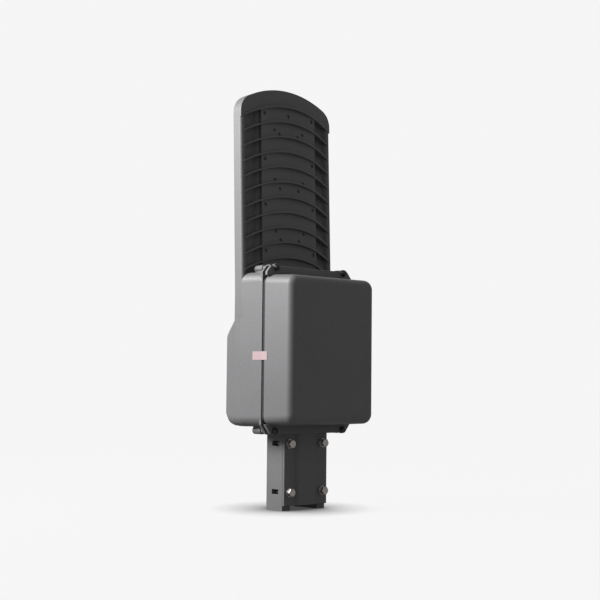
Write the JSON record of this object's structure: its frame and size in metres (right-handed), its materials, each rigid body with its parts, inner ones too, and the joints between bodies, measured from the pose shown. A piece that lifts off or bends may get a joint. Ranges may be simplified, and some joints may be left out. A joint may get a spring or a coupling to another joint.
{
  "type": "solar street lamp",
  "caption": "Solar street lamp: LED head with arched cooling ribs, battery box with a lift-off cover, and a bolted pole clamp.",
  "frame": {"origin": "on the pole socket's axis, at the socket's open lower end", "axes": "+Z runs along the lamp from the pole clamp to the head's tip, +Y is the side the LEDs face, -Y is the side with the cooling ribs and the battery cover"},
  "size_m": [0.166, 0.1335, 0.5848],
  "materials": {
    "housing": "fine-textured grey powder coat",
    "rubber": "matt black rubber",
    "foam": "dark closed-cell foam",
    "silicone": "pale silicone",
    "screw_steel": "zinc-plated steel",
    "bolt_steel": "stainless steel",
    "sheet_steel": "galvanised sheet",
    "nickel": "nickel strip",
    "label": "blank paper label with a faint pink pattern",
    "lens": "clear moulded polycarbonate",
    "board_white": "white solder mask on aluminium",
    "board_green": "green solder mask",
    "led": "yellow phosphor",
    "holder": "black ABS",
    "cell": "blue heat-shrink sleeve",
    "chips": "black epoxy",
    "brass": "brass",
    "copper": "enamelled copper winding",
    "can": "capacitor sleeve",
    "terminal": "green nylon",
    "wire_red": "red PVC",
    "wire_black": "black PVC",
    "wire_white": "white silicone"
  },
  "bodies": {
    "lamp": {"lamp_housing": "housing", "tamper_sticker": "label", "lens_plate_1": "lens", "lens_plate_2": "lens", "lens_plate_3": "lens", "lens_seal_1": "silicone", "lens_seal_2": "silicone", "lens_seal_3": "silicone", "led_board_1": "board_white", "led_board_2": "board_white", "led_board_3": "board_white", "led_chips_1": "led", "led_chips_2": "led", "led_chips_3": "led", "lens_screws": "screw_steel", "board_screws": "screw_steel", "battery_plate": "sheet_steel", "plate_screws": "screw_steel", "front_cell_holder": "holder", "rear_cell_holder": "holder", "battery_cells": "cell", "nickel_strips": "nickel", "pack_rods": "screw_steel", "bms_board": "board_green", "bms_parts": "chips", "bms_standoffs": "brass", "controller_board": "board_green", "controller_inductor": "copper", "controller_capacitors": "can", "controller_terminals": "terminal", "controller_screws": "screw_steel", "battery_lead_red": "wire_red", "battery_lead_black": "wire_black", "led_lead": "wire_white", "cable_grommet": "rubber"},
    "cover": {"battery_cover": "housing", "cover_seal": "rubber", "foam_pad": "foam"},
    "saddle": {"clamp_saddle": "housing", "clamp_flat_washers": "screw_steel", "clamp_spring_washers": "bolt_steel"},
    "cover_washer_1": {"cover_washer_1": "screw_steel"},
    "cover_screw_1": {"cover_screw_1": "screw_steel"},
    "cover_washer_2": {"cover_washer_2": "screw_steel"},
    "cover_screw_2": {"cover_screw_2": "screw_steel"},
    "cover_washer_3": {"cover_washer_3": "screw_steel"},
    "cover_screw_3": {"cover_screw_3": "screw_steel"},
    "cover_washer_4": {"cover_washer_4": "screw_steel"},
    "cover_screw_4": {"cover_screw_4": "screw_steel"},
    "clamp_bolt_1": {"clamp_bolt_1": "bolt_steel"},
    "clamp_bolt_2": {"clamp_bolt_2": "bolt_steel"},
    "clamp_bolt_3": {"clamp_bolt_3": "bolt_steel"},
    "clamp_bolt_4": {"clamp_bolt_4": "bolt_steel"}
  },
  "joints": [
    {"name": "cover_lift", "type": "slide", "parent": "lamp", "child": "cover", "axis": [0, -1, 0], "range_m": [0, 0.1]},
    {"name": "cover_screw_1_out", "type": "slide", "parent": "cover", "child": "cover_washer_1", "axis": [0, -1, 0], "range_m": [0, 0.01]},
    {"name": "cover_screw_1_turn", "type": "hinge", "parent": "cover_washer_1", "child": "cover_screw_1", "pos_m": [-0.062, -0.034, 0.326], "axis": [0, -1, 0], "range_deg": [0, 5195]},
    {"name": "cover_screw_2_out", "type": "slide", "parent": "cover", "child": "cover_washer_2", "axis": [0, -1, 0], "range_m": [0, 0.01]},
    {"name": "cover_screw_2_turn", "type": "hinge", "parent": "cover_washer_2", "child": "cover_screw_2", "pos_m": [0.062, -0.034, 0.326], "axis": [0, -1, 0], "range_deg": [0, 5195]},
    {"name": "cover_screw_3_out", "type": "slide", "parent": "cover", "child": "cover_washer_3", "axis": [0, -1, 0], "range_m": [0, 0.01]},
    {"name": "cover_screw_3_turn", "type": "hinge", "parent": "cover_washer_3", "child": "cover_screw_3", "pos_m": [-0.062, -0.034, 0.1075], "axis": [0, -1, 0], "range_deg": [0, 5195]},
    {"name": "cover_screw_4_out", "type": "slide", "parent": "cover", "child": "cover_washer_4", "axis": [0, -1, 0], "range_m": [0, 0.01]},
    {"name": "cover_screw_4_turn", "type": "hinge", "parent": "cover_washer_4", "child": "cover_screw_4", "pos_m": [0.062, -0.034, 0.1075], "axis": [0, -1, 0], "range_deg": [0, 5195]},
    {"name": "saddle_slide", "type": "slide", "parent": "lamp", "child": "saddle", "axis": [0, -1, 0], "range_m": [0, 0.01]},
    {"name": "clamp_bolt_1_turn", "type": "hinge", "parent": "saddle", "child": "clamp_bolt_1", "pos_m": [-0.03, -0.0273, 0.09], "axis": [0, -1, 0], "range_deg": [0, 3640]},
    {"name": "clamp_bolt_2_turn", "type": "hinge", "parent": "saddle", "child": "clamp_bolt_2", "pos_m": [0.03, -0.0273, 0.09], "axis": [0, -1, 0], "range_deg": [0, 3640]},
    {"name": "clamp_bolt_3_turn", "type": "hinge", "parent": "saddle", "child": "clamp_bolt_3", "pos_m": [-0.03, -0.0273, 0.025], "axis": [0, -1, 0], "range_deg": [0, 3640]},
    {"name": "clamp_bolt_4_turn", "type": "hinge", "parent": "saddle", "child": "clamp_bolt_4", "pos_m": [0.03, -0.0273, 0.025], "axis": [0, -1, 0], "range_deg": [0, 3640]}
  ],
  "couplings": [
    {"joint": "cover_screw_1_turn", "follows": "cover_screw_1_out", "rad_per_m": 8976},
    {"joint": "cover_screw_2_turn", "follows": "cover_screw_2_out", "rad_per_m": 8976},
    {"joint": "cover_screw_3_turn", "follows": "cover_screw_3_out", "rad_per_m": 8976},
    {"joint": "cover_screw_4_turn", "follows": "cover_screw_4_out", "rad_per_m": 8976},
    {"joint": "clamp_bolt_1_turn", "follows": "saddle_slide", "rad_per_m": 6283.2},
    {"joint": "clamp_bolt_2_turn", "follows": "saddle_slide", "rad_per_m": 6283.2},
    {"joint": "clamp_bolt_3_turn", "follows": "saddle_slide", "rad_per_m": 6283.2},
    {"joint": "clamp_bolt_4_turn", "follows": "saddle_slide", "rad_per_m": 6283.2}
  ]
}
